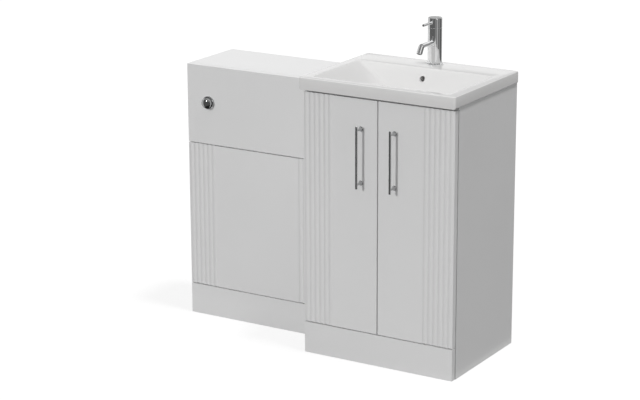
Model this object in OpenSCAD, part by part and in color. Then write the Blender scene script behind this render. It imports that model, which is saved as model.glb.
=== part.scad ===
// Toilet and basin combination unit: a WC furniture unit with a concealed cistern, joined to a
// deeper two-door vanity with a basin and a mixer tap.
// Frame: millimetres, X along the wall with 0 at the joint of the two units, Y towards the wall
// with 0 at the wall, Z up from the floor.

/* [Overall] */
// Width of the WC unit
wc_w = 500; // [420:10:600]
// Depth of the WC unit, from its front to the wall
wc_d = 250; // [235:5:300]
// Height of the WC unit
wc_h = 800; // [780:5:900]
// Width of the vanity
vanity_w = 500; // [460:10:600]
// Depth of the vanity, from the door fronts to the wall
vanity_d = 382; // [370:2:450]
// Height of the vanity's side panels, where the basin rests
vanity_h = 808; // [790:2:900]

/* [Boards] */
// Thickness of the carcass boards
board_t = 18; // [15:1:22]
// Thickness of doors, fascia and plinths
front_t = 18; // [16:1:22]
// Thickness of the vanity's back panel
back_t = 8; // [4:1:15]
// Gap between the back of a front and the carcass
front_gap = 2; // [1:0.5:3]
// How far each front stops short of its unit's side
reveal = 1.5; // [1:0.5:3]
// Gap between neighbouring fronts
joint_gap = 3; // [2:0.5:5]
// Rounding of the upright front edges
front_edge_r = 1.5; // [0.5:0.5:3]
// Height of the plinths
plinth_h = 95.5; // [80:0.5:120]
// Gap between the door tops and the basin's front lip
door_top_gap = 7.5; // [5:0.5:12]
// Height of the fascia of the WC unit
fascia_h = 244.5; // [200:0.5:280]
// Space for pipes behind the vanity's back panel
pipe_void = 52; // [40:2:80]
// Height of the rails
rail_h = 60; // [40:5:90]
// Height of the shelf's top above the floor
shelf_z = 372; // [300:4:420]
// Depth of the shelf
shelf_d = 270; // [220:5:300]

/* [Flutes] */
// Number of flutes beside each outer edge
flute_n = 6; // [3:1:8]
// Distance from one flute to the next
flute_pitch = 16.3; // [14:0.1:20]
// Distance from the edge to the first flute's centre
flute_first = 10.2; // [9:0.1:14]
// Width of a flute
flute_w = 13.6; // [10:0.2:13.8]
// Depth of a flute
flute_depth = 2.6; // [1:0.1:4]

/* [Handles] */
// Diameter of the handle's bar
handle_bar_d = 7; // [6:0.5:12]
// Length of the handle's bar
handle_l = 185; // [140:5:260]
// Distance between the handle's posts
handle_cc = 160; // [96:1:200]
// Distance from the door to the bar's axis
handle_off = 26; // [22:1:40]
// Diameter of a handle's post
handle_post_d = 6; // [5:0.5:8]
// Distance from the middle of the unit to each handle
handle_x = 55; // [30:1:90]
// Height of the handles' middle
handle_z = 629.5; // [560:0.5:680]
// Diameter of a handle screw
handle_screw_d = 4; // [3:0.5:5]

/* [Hinges] */
// Diameter of the hinge cup
cup_d = 35; // [35:1:40]
// Depth of the hinge cup
cup_depth = 12; // [11:0.5:13]
// Distance from the door's edge to the cup's centre
cup_edge = 22.5; // [22:0.5:24]
// Distance from each door end to its hinge
hinge_end = 110; // [80:5:160]
// Height of the arms and plates
arm_h = 18; // [16:1:22]
// Diameter of the link's pivot pin
link_pin_d = 3; // [2.5:0.5:4]

/* [Basin] */
// How far the basin stands over the vanity's sides
basin_over = 5; // [0:1:30]
// How far the basin stands over the door fronts
basin_front = 14; // [6:1:30]
// Thickness of the basin's rim above the side panels
rim_t = 33; // [24:1:50]
// How far the front lip hangs below the side panels' top
lip_drop = 3.5; // [0:0.5:8]
// Thickness of the rim's skirt
skirt_t = 14; // [12:1:18]
// Thickness of the basin's deck
deck_t = 12; // [8:1:16]
// Rounding of the basin's upright corners
basin_corner_r = 6; // [2:1:12]
// Width of the rim beside the bowl
rim_side = 30; // [25:1:45]
// Width of the rim in front of the bowl
rim_front = 28; // [22:1:50]
// Depth of the deck behind the bowl, which carries the tap
deck_back = 101; // [95:1:130]
// Depth of the bowl below the rim
bowl_depth = 95; // [70:1:110]
// Width of the bowl's floor
floor_w = 110; // [100:1:180]
// How far the bowl's back wall leans in, from rim to floor
bowl_back_run = 65; // [20:1:70]
// How far the bowl's front wall leans in
bowl_front_run = 48; // [30:1:60]
// Rounding of the bowl's corners at the rim
bowl_corner_r = 12; // [6:1:30]
// Thickness of the bowl's wall
bowl_t = 9; // [6:1:12]
// Diameter of the overflow hole
overflow_d = 17; // [14:1:22]
// Depth of the overflow hole below the rim
overflow_z = 30; // [26:1:36]

/* [Waste and trap] */
// Diameter of the waste's flange
waste_flange_d = 64; // [58:1:72]
// Diameter of the waste's threaded tail
waste_tail_d = 41.9; // [40:0.1:44]
// Length of the waste below the bowl's floor
waste_l = 76; // [60:2:90]
// Diameter of the plug
plug_d = 58; // [50:1:62]
// Diameter of the trap's bottle
trap_d = 62; // [56:2:76]
// Height of the trap's cup
trap_cup_h = 72; // [50:2:90]
// Diameter of the outlet pipe
outlet_d = 32; // [32:1:40]
// Wall of the outlet pipe
outlet_wall = 2; // [1.5:0.5:3]

/* [Tap] */
// Distance from the wall to the tap's axis
tap_y = 45; // [40:1:60]
// Diameter of the tap's body
tap_d = 42; // [36:1:50]
// Height of the tap's body, up to its cap
tap_body_h = 111; // [100:0.5:150]
// Height of the cap
tap_cap_h = 29; // [26:1:34]
// Diameter of the ring at the tap's foot
tap_ring_d = 50; // [44:1:60]
// Height of the ring at the tap's foot
tap_ring_h = 6; // [4:0.5:9]
// Diameter of the lever
lever_d = 8; // [6:0.5:9]
// Distance from the tap's axis to the lever's tip
lever_reach = 73; // [60:1:100]
// Height of the lever's axis below the cap's top
lever_drop = 12.5; // [10:0.5:14]
// Diameter of the spout's tube
spout_d = 13.5; // [12:0.5:18]
// Height of the spout's axis above the deck
spout_z = 69; // [60:1:90]
// Distance from the tap's axis to the spout's bend
spout_reach = 82; // [70:1:110]
// Lean of the spout's outlet from upright
spout_lean = 33; // [15:1:45]
// Diameter of the spout's outlet
nozzle_d = 17.5; // [16:0.5:22]
// Length of the spout's outlet
nozzle_l = 24; // [20:1:34]
// Diameter of the tap hole in the basin
tap_hole_d = 35; // [33:1:37]

/* [Flush button] */
// Distance from the WC unit's left side to the button
button_x = 79; // [60:1:140]
// Height of the button above the floor
button_z = 686; // [620:1:740]
// Diameter of the button
button_d = 33; // [28:1:40]
// Diameter of the bezel
bezel_d = 41; // [38:1:50]
// Thickness of the bezel
bezel_t = 6; // [3:0.5:8]
// How far the button stands out of the fascia
button_out = 20; // [16:1:26]
// Travel of the button
button_travel = 7; // [4:1:8]

/* [Cistern] */
// Width of the tank
tank_w = 360; // [320:10:400]
// Depth of the tank
tank_d = 150; // [130:5:170]
// Height of the tank
tank_h = 325; // [280:5:330]
// Wall of the tank
tank_wall = 4; // [3:0.5:6]
// Gap between the tank's lid and the top panel
tank_top_gap = 12; // [6:1:30]
// Diameter of the flush pipe
flush_d = 40; // [38:1:50]
// Height of the flush pipe's end above the floor
flush_z = 320; // [280:5:360]
// Distance from the tank's right end to the fill valve
fill_side = 60; // [50:5:80]

/* [Clearances] */
// Gap between pieces that move past each other
run_clear = 0.4; // [0.3:0.05:0.6]
// Radial gap of a guided stem or pin
fit_clear = 0.06; // [0.03:0.01:0.1]
// Radial gap round bolts and screws
bolt_clear = 0.2; // [0.1:0.1:0.5]

/* [Hidden] */
$fn = 64;

tiny = 0.01;

// Fronts
door_w = (vanity_w - 2 * reveal - joint_gap) / 2;
door_z = plinth_h + joint_gap;
lip_z = vanity_h - lip_drop;
door_h = lip_z - door_top_gap - door_z;
vanity_back_of_front = -(vanity_d - front_t);
vanity_carcass_y = vanity_back_of_front + front_gap;
wc_back_of_front = -(wc_d - front_t);
wc_carcass_y = wc_back_of_front + front_gap;
fascia_z = wc_h - fascia_h;
wc_panel_h = fascia_z - joint_gap - door_z;
flute_r = (pow(flute_w / 2, 2) + pow(flute_depth, 2)) / (2 * flute_depth);

// Vanity inside
inner_w = vanity_w - 2 * board_t;
base_top = door_z + board_t;
back_panel_y = -pipe_void - back_t;
back_rail_h = 100;
front_rail_drop = 73;
front_rail_z = vanity_h - front_rail_drop;
pipe_window_w = 150;
shelf_clear = 1;
pin_r = 2.5;
pin_l = 14;
pin_depth = 8;
pin_rows = 5;
pin_pitch = 32;
shelf_front_y = back_panel_y - shelf_clear - shelf_d;

// Hinges: u runs from the outer edge inwards, w from the door's back forwards
link_u = 33.2;
link_w = 4.7;
elbow_u = 17.3;
elbow_w = 8.3;
link_end_u = 11.9;
link_end_w = 5.8;
link_t = 3;
link_h = 8;
ear_t = 1.6;
ear_r = 3.6;
arm_t = 1.5;
arm_u = 36;
arm_back = 62;
plate_l = 48;
plate_t = 5;
plate_wing = 56;
plate_back = 62;
cup_wall = 1.2;
flange_t = 1.2;
flange_w = 24;
flange_h = 58;

// Basin
rim_z = vanity_h + rim_t;
basin_w = vanity_w + 2 * basin_over;
basin_x = -basin_over;
basin_d = vanity_d + basin_front;
mid_x = vanity_w / 2;
bowl_w = basin_w - 2 * rim_side;
bowl_d = basin_d - rim_front - deck_back;
bowl_y = -basin_d + rim_front;
floor_y = bowl_y + bowl_front_run;
floor_d = bowl_d - bowl_front_run - bowl_back_run;
floor_z = rim_z - bowl_depth;
waste_y = floor_y + floor_d / 2;
waste_hole_d = waste_tail_d + 3;
overflow_y = -deck_back - overflow_z * bowl_back_run / bowl_depth;
boss_l = 37;
boss_r = waste_hole_d / 2 + 13;
boss_z = floor_z - boss_l;
passage_w = overflow_d + 3;
passage_t = 13;
passage_wall = 4;
passage_low = boss_z + 9;
passage_h = 10;

// Waste and trap
waste_flange_t = 2.5;
washer_t = 4;
nut_h = 10;
waste_wall = 3;
waste_end_z = floor_z - waste_l;
bowl_under_z = floor_z - bowl_t;
plug_t = 5;
plug_lift = 8;
stem_d = 8;
guide_z = floor_z - 30;
guide_h = 8;
slot_w = 12;
trap_top_z = waste_end_z + 12;
trap_collar_d = waste_tail_d + 12;
trap_neck_h = 30;
trap_grip = 14;
outlet_nut_d = outlet_d + 14;
outlet_nut_l = 30;
outlet_nut_gap = 1.5;
trap_body_h = trap_grip + outlet_nut_gap + outlet_nut_d + 1;
trap_body_z = trap_top_z - trap_neck_h - trap_body_h;
trap_wall = 3;
outlet_z = trap_body_z + trap_grip + outlet_nut_gap + outlet_nut_d / 2;
outlet_nut_y = waste_y + trap_d / 2 - 6;
outlet_bead_w = 4;
outlet_bead_out = 2;
trap_cup_z = trap_body_z - trap_cup_h + trap_grip;
cup_floor = 5;
dip_r = 16;
dip_wall = 2;
dip_gap = 16;
dip_z = trap_cup_z + cup_floor + dip_gap;
cut_l = 60;

// Tap
tap_x = mid_x;
cap_z = rim_z + tap_body_h + 1;
cap_top = cap_z + tap_cap_h;
lever_z = cap_top - lever_drop;
cap_wall = 2.5;
lift_max = 12;
stem_r = 13;
cartridge_h = 20;
neck_h = 9;
cap_hollow = 12;
tilt_up = 4;
tilt_pin_r = 2;
tilt_pin_in = 1.5;
lever_in = 2;
stud_y = 9;
tail_bore_d = 9;
tail_bore_l = 14;
tail_x = 8;
tail_y = -3;
tail_d = 10;
tail_wall = 1.5;
tail_neck_l = 31;
hot_tail_l = 141;
cold_tail_l = 96;
tap_shank_d = 30;
tap_shank_l = deck_t - 2;
stud_d = 8;
stud_l = 62;
stud_in = 14;
shoe_t = 3;
shoe_slot = 2 * tail_x + tail_d + 3;
tap_nut_h = 12;

// Flush button
bezel_x = -wc_w + button_x;
barrel_wall = 2;
barrel_r = button_d / 2 + fit_clear + barrel_wall;
barrel_l = front_t + button_travel + 19;
air_nozzle_d = 6;
air_nozzle_l = 12;

// Cistern
tank_x = -wc_w / 2;
tank_back_y = -board_t;
tank_lid_t = 5;
tank_z = wc_h - board_t - tank_top_gap - tank_lid_t - tank_h;
tank_front_y = tank_back_y - tank_d;
tank_mid_y = tank_back_y - tank_d / 2;
valve_r = 30;
valve_bore_r = 21;
seat_z = tank_z + tank_wall + 10;
cage_h = 150;
cage_post_r = 3;
tail_l = 44;
tail_r = valve_bore_r + 3;
seal_r = 26;
seal_t = 5;
tube_r = 14;
seal_lift = 24;
fill_r = 9;
fill_x = tank_w / 2 - fill_side;
fill_flange_r = 18;
fill_nut_r = 17;
inlet_r = 10.4;
inlet_l = 32;
float_r = 26;
float_h = 60;
float_low = 90;
float_z = tank_z + float_low;
float_rise = 80;
fill_h = float_low + float_h + float_rise + 15;
flush_wall = 2;
flush_bend_r = 46;

// Fasteners between the units and to the wall
bolt_r = 3;
bolt_head_r = 7;
bolt_head_t = 2.5;
bolt_ys = [-190, -35];
bolt_zs = [200, 690];
bracket_t = 2;
bracket_w = 30;
bracket_leg = 34;
bracket_hole_r = 3;
bracket_inset = 70;

// Basic forms

module board(x, y, z, w, d, h) {
    translate([x, y, z]) cube([w, d, h]);
}

module rounded_rect(w, d, r) {
    translate([r, 0]) square([w - 2 * r, d]);
    translate([0, r]) square([w, d - 2 * r]);
    for (x = [r, w - r], y = [r, d - r]) translate([x, y]) circle(r = r);
}

module tube(h, r_out, r_in) {
    difference() {
        cylinder(h = h, r = r_out);
        translate([0, 0, -tiny]) cylinder(h = h + 2 * tiny, r = r_in);
    }
}

// A flat bar of width w along three points, mitred at the middle one
module bent_bar(p, q, r, w) {
    a = side_of(p, q);
    b = side_of(q, r);
    mitre = (a + b) / (1 + a * b);
    polygon([p + a * w / 2, q + mitre * w / 2, r + b * w / 2,
             r - b * w / 2, q - mitre * w / 2, p - a * w / 2]);
}

function side_of(p, q) = [p[1] - q[1], q[0] - p[0]] / norm(q - p);

// The same piece on the other side of the vanity's middle
module right_hand() {
    translate([vanity_w, 0, 0]) mirror([1, 0, 0]) children();
}

// A front board seen from above: its back at y = 0, its rounded front edges at -front_t
module front_outline(w, flutes_left, flutes_right) {
    r = front_edge_r;
    difference() {
        union() {
            translate([0, -front_t + r]) square([w, front_t - r]);
            translate([r, -front_t]) square([w - 2 * r, front_t]);
            for (x = [r, w - r]) translate([x, -front_t + r]) circle(r = r);
        }
        for (i = [0:flute_n - 1]) {
            at = flute_first + i * flute_pitch;
            y = -front_t - flute_r + flute_depth;
            if (flutes_left) translate([at, y]) circle(r = flute_r);
            if (flutes_right) translate([w - at, y]) circle(r = flute_r);
        }
    }
}

// Vanity carcass

module connector_holes() {
    for (y = bolt_ys, z = bolt_zs)
        translate([-board_t - tiny, y, z]) rotate([0, 90, 0])
            cylinder(h = 2 * (board_t + tiny), r = bolt_r + bolt_clear);
}

// Two columns of blind holes for the shelf pins, in the inner face of a side
module pin_holes() {
    for (y = pin_ys(), i = [0:pin_rows - 1])
        translate([board_t - pin_depth, y, pin_z() + (i - (pin_rows - 1) / 2) * pin_pitch])
            rotate([0, 90, 0]) cylinder(h = pin_depth + tiny, r = pin_r + fit_clear);
}

function pin_ys() = [shelf_front_y + 37, shelf_front_y + shelf_d - 37];
function pin_z() = shelf_z - board_t - pin_r;

module side_blank() {
    difference() {
        board(0, vanity_carcass_y, 0, board_t, -vanity_carcass_y, vanity_h);
        pin_holes();
    }
}

module vanity_left_side() {
    color("gainsboro") difference() {
        side_blank();
        connector_holes();
    }
}

module vanity_right_side() {
    color("gainsboro") right_hand() side_blank();
}

module vanity_base() {
    color("gainsboro")
        board(board_t, vanity_carcass_y, door_z, inner_w, -vanity_carcass_y - pipe_void, board_t);
}

module vanity_back_panel() {
    window_z = trap_cup_z + 20;
    color("whitesmoke") difference() {
        board(board_t, back_panel_y, base_top, inner_w, back_t,
              vanity_h - back_rail_h - base_top);
        board(mid_x - pipe_window_w / 2, back_panel_y - tiny, window_z, pipe_window_w,
              back_t + 2 * tiny, vanity_h);
    }
}

module vanity_back_rail() {
    color("gainsboro")
        board(board_t, -board_t, vanity_h - back_rail_h, inner_w, board_t, back_rail_h);
}

module vanity_front_rail() {
    color("gainsboro")
        board(board_t, vanity_carcass_y, front_rail_z - rail_h / 2, inner_w, board_t, rail_h);
}

module vanity_shelf() {
    color("gainsboro") board(board_t + shelf_clear, shelf_front_y, shelf_z - board_t,
                             inner_w - 2 * shelf_clear, shelf_d, board_t);
}

module shelf_pins() {
    color("silver") for (y = pin_ys()) {
        shelf_pin(y);
        right_hand() shelf_pin(y);
    }
}

module shelf_pin(y) {
    collar_r = 4;
    translate([board_t - pin_depth + 0.5, y, pin_z()]) rotate([0, 90, 0])
        cylinder(h = pin_l, r = pin_r);
    translate([board_t, y, pin_z()]) rotate([0, 90, 0])
        difference() {
            cylinder(h = shelf_clear, r = collar_r);
            translate([-collar_r - pin_r, -collar_r, -tiny])
                cube([collar_r, 2 * collar_r, shelf_clear + 2 * tiny]);
        }
}

module vanity_plinth() {
    color("whitesmoke") translate([reveal, vanity_back_of_front, 0])
        linear_extrude(plinth_h) front_outline(vanity_w - 2 * reveal, false, false);
}

// Doors, drawn as the left one

function hinge_zs() = [door_z + hinge_end, door_z + door_h - hinge_end];

module door_blank() {
    translate([reveal, vanity_back_of_front, door_z]) linear_extrude(door_h)
        front_outline(door_w, true, false);
}

module door_holes() {
    for (z = hinge_zs()) hinge_at(z) translate([cup_u(), 0, 0]) rotate([90, 0, 0])
        translate([0, 0, -tiny]) cylinder(h = cup_depth + tiny, d = cup_d);
    for (z = handle_zs()) translate([left_handle_x(), vanity_back_of_front + tiny, z])
        rotate([90, 0, 0]) {
            cylinder(h = front_t + 2 * tiny, d = handle_screw_d + 2 * bolt_clear);
            cylinder(h = screw_sink() + tiny, d = screw_head_d() + 2 * bolt_clear);
        }
}

function cup_u() = reveal + cup_edge;
function left_handle_x() = mid_x - handle_x;
function handle_zs() = [handle_z - handle_cc / 2, handle_z + handle_cc / 2];
function screw_head_d() = handle_screw_d * 2;
function screw_sink() = handle_screw_d * 0.8;

module hinge_at(z) {
    translate([0, vanity_back_of_front, z]) children();
}

module door() {
    color("whitesmoke") difference() {
        door_blank();
        door_holes();
    }
}

module handle() {
    bar_y = -vanity_d - handle_off;
    tip = 1;
    color("silver") {
        translate([left_handle_x(), bar_y, handle_z - handle_l / 2]) {
            cylinder(h = tip, d1 = handle_bar_d - 2 * tip, d2 = handle_bar_d);
            translate([0, 0, tip]) cylinder(h = handle_l - 2 * tip, d = handle_bar_d);
            translate([0, 0, handle_l - tip])
                cylinder(h = tip, d1 = handle_bar_d, d2 = handle_bar_d - 2 * tip);
        }
        for (z = handle_zs()) translate([left_handle_x(), -vanity_d, z]) rotate([90, 0, 0])
            tube_blind(handle_off, handle_post_d / 2, handle_screw_d / 2, handle_off - 8);
    }
}

// A post with a blind hole in its foot
module tube_blind(h, r_out, r_in, solid_h) {
    difference() {
        cylinder(h = h, r = r_out);
        translate([0, 0, -tiny]) cylinder(h = h - solid_h + tiny, r = r_in);
    }
}

module handle_screws() {
    gap = 0.05;
    color("silver") for (z = handle_zs())
        translate([left_handle_x(), vanity_back_of_front, z]) rotate([90, 0, 0]) {
            cylinder(h = front_t + 6, d = handle_screw_d - 2 * gap);
            cylinder(h = screw_sink(), d = screw_head_d());
        }
}

module hinge_cups() {
    r = cup_d / 2 - bolt_clear;
    color("lightgray") for (z = hinge_zs()) hinge_at(z) translate([cup_u(), 0, 0])
        difference() {
            union() {
                rotate([90, 0, 0]) cylinder(h = cup_depth - bolt_clear, r = r);
                translate([-flange_w / 2, 0, -flange_h / 2])
                    cube([flange_w, flange_t, flange_h]);
            }
            translate([0, flange_t + tiny, 0]) rotate([90, 0, 0])
                cylinder(h = cup_depth - bolt_clear - cup_wall + flange_t, r = r - cup_wall);
            for (dz = [-1, 1]) translate([0, flange_t + tiny, dz * (flange_h / 2 - 6)])
                rotate([90, 0, 0]) cylinder(h = flange_t + 2 * tiny, r = 2);
        }
}

// The bent link that joins each hinge's arm to its cup
module hinge_links() {
    pivot = [link_u, -link_w];
    color("silver") for (z = hinge_zs()) hinge_at(z) translate([0, 0, -link_h / 2])
        linear_extrude(link_h) difference() {
            union() {
                bent_bar(pivot, [elbow_u, -elbow_w], [link_end_u, -link_end_w], link_t);
                translate(pivot) circle(r = ear_r - 0.2);
            }
            translate(pivot) circle(d = link_pin_d + 2 * fit_clear);
        }
}

// Arm with its two ears and pivot pin, on a cross-shaped plate screwed to the side
module hinge_arms() {
    ear_z = link_h / 2 + run_clear;
    web_u = arm_u - arm_t;
    color("silver") for (z = hinge_zs()) hinge_at(z) {
        for (s = [-1, 1]) translate([0, 0, s * (ear_z + ear_t / 2) - ear_t / 2])
            linear_extrude(ear_t) {
                translate([link_u, -link_w]) circle(r = ear_r);
                translate([link_u - ear_r, -link_w]) square([2 * ear_r, link_w + 12]);
            }
        translate([link_u, -link_w, -ear_z - ear_t])
            cylinder(h = 2 * (ear_z + ear_t), d = link_pin_d);
        translate([web_u - 3, 10, -arm_h / 2]) cube([arm_t + 3, arm_back - 10, arm_h]);
        for (s = [-1, 1]) translate([board_t + plate_t, 16, s * (arm_h - arm_t) / 2 - arm_t / 2])
            cube([web_u - board_t - plate_t + tiny, arm_back - 16, arm_t]);
        translate([board_t, 14, -arm_h / 2]) cube([plate_t, plate_l, arm_h]);
        translate([board_t, 28, -plate_wing / 2]) cube([plate_t / 2, 18, plate_wing]);
    }
}

// Soft buffers on the door's back, clear of the carcass by a hair
module door_buffers() {
    buffer_r = 5;
    color("gray") for (z = [base_top - board_t / 2, front_rail_z])
        translate([mid_x - joint_gap / 2 - 16, vanity_back_of_front, z]) rotate([-90, 0, 0])
            cylinder(h = front_gap - 0.3, r = buffer_r);
}

// WC unit

module wc_side(x) {
    board(x, wc_carcass_y, 0, board_t, -wc_carcass_y, wc_h - board_t);
}

module wc_left_side() {
    color("gainsboro") wc_side(-wc_w);
}

module wc_right_side() {
    color("gainsboro") difference() {
        wc_side(-board_t);
        connector_holes();
    }
}

module wc_top() {
    color("whitesmoke")
        board(-wc_w, wc_carcass_y, wc_h - board_t, wc_w, -wc_carcass_y, board_t);
}

module wc_front(z, h, flutes) {
    translate([-wc_w + reveal, wc_back_of_front, z]) linear_extrude(h)
        front_outline(wc_w - 2 * reveal, flutes, flutes);
}

module wc_fascia() {
    color("whitesmoke") difference() {
        wc_front(fascia_z, fascia_h, false);
        translate([bezel_x, wc_back_of_front + tiny, button_z]) rotate([90, 0, 0])
            cylinder(h = front_t + 2 * tiny, r = barrel_r + bolt_clear);
    }
}

module wc_front_panel() {
    color("whitesmoke") wc_front(door_z, wc_panel_h, true);
}

module wc_plinth() {
    color("whitesmoke") wc_front(0, plinth_h, false);
}

module wc_middle_rail() {
    color("gainsboro") board(-wc_w + board_t, wc_carcass_y, fascia_z - joint_gap / 2 - rail_h / 2,
                             wc_w - 2 * board_t, board_t, rail_h);
}

module wc_back_rail() {
    color("gainsboro") board(-wc_w + board_t, -board_t, wc_h - board_t - back_rail_h,
                             wc_w - 2 * board_t, board_t, back_rail_h);
}

// A clip on a side's inner face, whose nib reaches the back of a front
module clip(reach) {
    clip_w = 12;
    clip_h = 26;
    leg = 24;
    cube([clip_w, leg, clip_h]);
    translate([0, -reach, 6]) cube([clip_w, reach, clip_h - 12]);
}

module clips_for(x0, w, y, zs) {
    for (z = zs) {
        translate([x0 + board_t, y, z]) clip(front_gap);
        translate([x0 + w - board_t, y, z]) mirror([1, 0, 0]) clip(front_gap);
    }
}

module panel_clips() {
    clip_low = 40;
    below_joint = 90;
    above_joint = 60;
    below_top = 70;
    color("dimgray") {
        clips_for(-wc_w, wc_w, wc_carcass_y,
                  [clip_low, door_z + clip_low, fascia_z - below_joint,
                   fascia_z + above_joint, wc_h - below_top]);
        clips_for(0, vanity_w, vanity_carcass_y, [clip_low]);
    }
}

module connector_bolts() {
    color("silver") for (y = bolt_ys, z = bolt_zs) translate([-board_t, y, z]) rotate([0, 90, 0]) {
        cylinder(h = 2 * board_t, r = bolt_r);
        translate([0, 0, -bolt_head_t]) cylinder(h = bolt_head_t, r = bolt_head_r);
        translate([0, 0, 2 * board_t]) cylinder(h = bolt_head_t, r = bolt_head_r);
    }
}

// An angle bracket under a back rail, with its upright leg against the wall
module bracket() {
    translate([-bracket_w / 2, -bracket_leg, -bracket_t]) cube([bracket_w, bracket_leg, bracket_t]);
    difference() {
        translate([-bracket_w / 2, -bracket_t, -bracket_leg])
            cube([bracket_w, bracket_t, bracket_leg - bracket_t + tiny]);
        translate([0, tiny, -bracket_leg / 2]) rotate([90, 0, 0])
            cylinder(h = bracket_t + 2 * tiny, r = bracket_hole_r);
    }
}

module wall_brackets() {
    vanity_rail = vanity_h - back_rail_h;
    wc_rail = wc_h - board_t - back_rail_h;
    color("silver") {
        for (x = [bracket_inset, vanity_w - bracket_inset]) translate([x, 0, vanity_rail]) bracket();
        for (x = [-wc_w + bracket_clear_x(), -bracket_clear_x()]) translate([x, 0, wc_rail])
            bracket();
    }
}

// The WC unit's brackets stand between the tank and the sides
function bracket_clear_x() = (wc_w - tank_w) / 4 + board_t / 2;

// Cistern

module cistern_tank() {
    floor_hole_r = tail_r + bolt_clear;
    color("white") translate([tank_x - tank_w / 2, tank_front_y, tank_z]) difference() {
        linear_extrude(tank_h) rounded_rect(tank_w, tank_d, 12);
        translate([tank_wall, tank_wall, tank_wall]) linear_extrude(tank_h)
            rounded_rect(tank_w - 2 * tank_wall, tank_d - 2 * tank_wall, 12 - tank_wall);
        translate([tank_w / 2, tank_d / 2, -tiny])
            cylinder(h = tank_wall + 2 * tiny, r = floor_hole_r);
        translate([tank_w / 2 + fill_x, tank_d / 2, -tiny])
            cylinder(h = tank_wall + 2 * tiny, r = inlet_r + bolt_clear);
    }
}

module cistern_lid() {
    lip = 6;
    color("white") translate([tank_x - tank_w / 2, tank_front_y, tank_z + tank_h]) {
        linear_extrude(tank_lid_t) rounded_rect(tank_w, tank_d, 12);
        inset = tank_wall + 0.5;
        translate([inset, inset, -lip]) difference() {
            linear_extrude(lip + tiny)
                rounded_rect(tank_w - 2 * inset, tank_d - 2 * inset, 8);
            translate([3, 3, -tiny]) linear_extrude(lip + 3 * tiny)
                rounded_rect(tank_w - 2 * inset - 6, tank_d - 2 * inset - 6, 5);
        }
    }
}

module at_valve() {
    translate([tank_x, tank_mid_y, 0]) children();
}

// Seat, threaded tail and nut, and the cage that guides the overflow tube
module flush_valve() {
    flange_z = tank_z + tank_wall;
    nut_z = tank_z - nut_h;
    color("lightgray") at_valve() {
        translate([0, 0, flange_z]) tube(3, valve_r + 6, valve_bore_r);
        translate([0, 0, flange_z]) tube(seat_z - flange_z, valve_bore_r + 3, valve_bore_r);
        translate([0, 0, tank_z - tail_l]) tube(tail_l + tank_wall, tail_r, valve_bore_r);
        translate([0, 0, nut_z]) tube(nut_h, valve_r + 4, tail_r);
        for (a = [45:90:315]) rotate(a) translate([valve_r + 2, 0, flange_z])
            cylinder(h = cage_h, r = cage_post_r);
        translate([0, 0, flange_z + cage_h]) tube(6, valve_r + 6, tube_r + run_clear);
    }
}

// Lifting seal with its overflow tube
module flush_seal() {
    tube_top = tank_z + tank_h - seal_lift - 36;
    color("seagreen") at_valve() {
        translate([0, 0, seat_z + 0.3]) tube(seal_t, seal_r, tube_r - 2);
        translate([0, 0, seat_z + 0.3]) tube(tube_top - seat_z, tube_r, tube_r - 2);
    }
}

module at_fill() {
    translate([tank_x + fill_x, tank_mid_y, 0]) children();
}

module fill_valve() {
    head_h = 34;
    color("lightgray") at_fill() {
        translate([0, 0, tank_z - inlet_l]) cylinder(h = inlet_l + tank_wall + 3, r = inlet_r);
        translate([0, 0, tank_z + tank_wall]) cylinder(h = 5, r = fill_flange_r);
        translate([0, 0, tank_z - 8]) tube(8, fill_nut_r, inlet_r);
        translate([0, 0, tank_z + tank_wall]) cylinder(h = fill_h, r = fill_r);
        translate([0, 0, tank_z + tank_wall + fill_h]) cylinder(h = head_h, r = fill_nut_r);
        translate([0, 0, float_z - 8]) cylinder(h = 7.7, r = fill_r + 4);
    }
}

module float_cup() {
    color("ghostwhite") at_fill() translate([0, 0, float_z]) difference() {
        cylinder(h = float_h, r = float_r);
        translate([0, 0, -tiny]) cylinder(h = float_h + 2 * tiny, r = fill_r + fit_clear);
        translate([0, 0, -tiny]) tube(float_h - 4, float_r - 2, fill_r + 3);
    }
}

// Bend from the cistern's tail to the height of a pan's inlet, behind the front panel
module flush_pipe() {
    r = flush_d / 2;
    top_z = tank_z - tail_l + 20;
    bend_top = flush_z + flush_bend_r;
    end_y = wc_carcass_y + board_t + 6;
    bend_y = tank_mid_y - flush_bend_r;
    color("white") translate([tank_x, 0, 0]) {
        translate([0, tank_mid_y, bend_top]) tube(tank_z - tail_l - bend_top, r, r - flush_wall);
        translate([0, tank_mid_y, tank_z - tail_l - 6])
            difference() {
                cylinder(h = 30, r = tail_r + 5);
                translate([0, 0, -tiny]) cylinder(h = 6 + 2 * tiny, r = r - flush_wall);
                translate([0, 0, 6]) cylinder(h = 30, r = tail_r);
            }
        translate([0, bend_y, bend_top]) rotate([0, 90, 0]) rotate(0)
            rotate_extrude(angle = 90) translate([flush_bend_r, 0]) difference() {
                circle(r = r);
                circle(r = r - flush_wall);
            }
        translate([0, end_y, flush_z]) rotate([-90, 0, 0])
            tube(bend_y - end_y, r, r - flush_wall);
    }
}

// Flush button

module at_button() {
    translate([bezel_x, -wc_d, button_z]) rotate([90, 0, 0]) children();
}

// Bezel with the barrel that passes through the fascia and holds the air bellows
module flush_bezel() {
    color("silver") at_button() difference() {
        union() {
            cylinder(h = bezel_t - 2, d = bezel_d);
            translate([0, 0, bezel_t - 2]) cylinder(h = 2, d1 = bezel_d, d2 = bezel_d - 3);
            translate([0, 0, -barrel_l]) cylinder(h = barrel_l + tiny, r = barrel_r);
            translate([0, 0, -barrel_l - air_nozzle_l])
                cylinder(h = air_nozzle_l + tiny, d = air_nozzle_d);
        }
        translate([0, 0, -barrel_l + 3])
            cylinder(h = barrel_l + bezel_t, r = button_d / 2 + fit_clear);
    }
}

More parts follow.
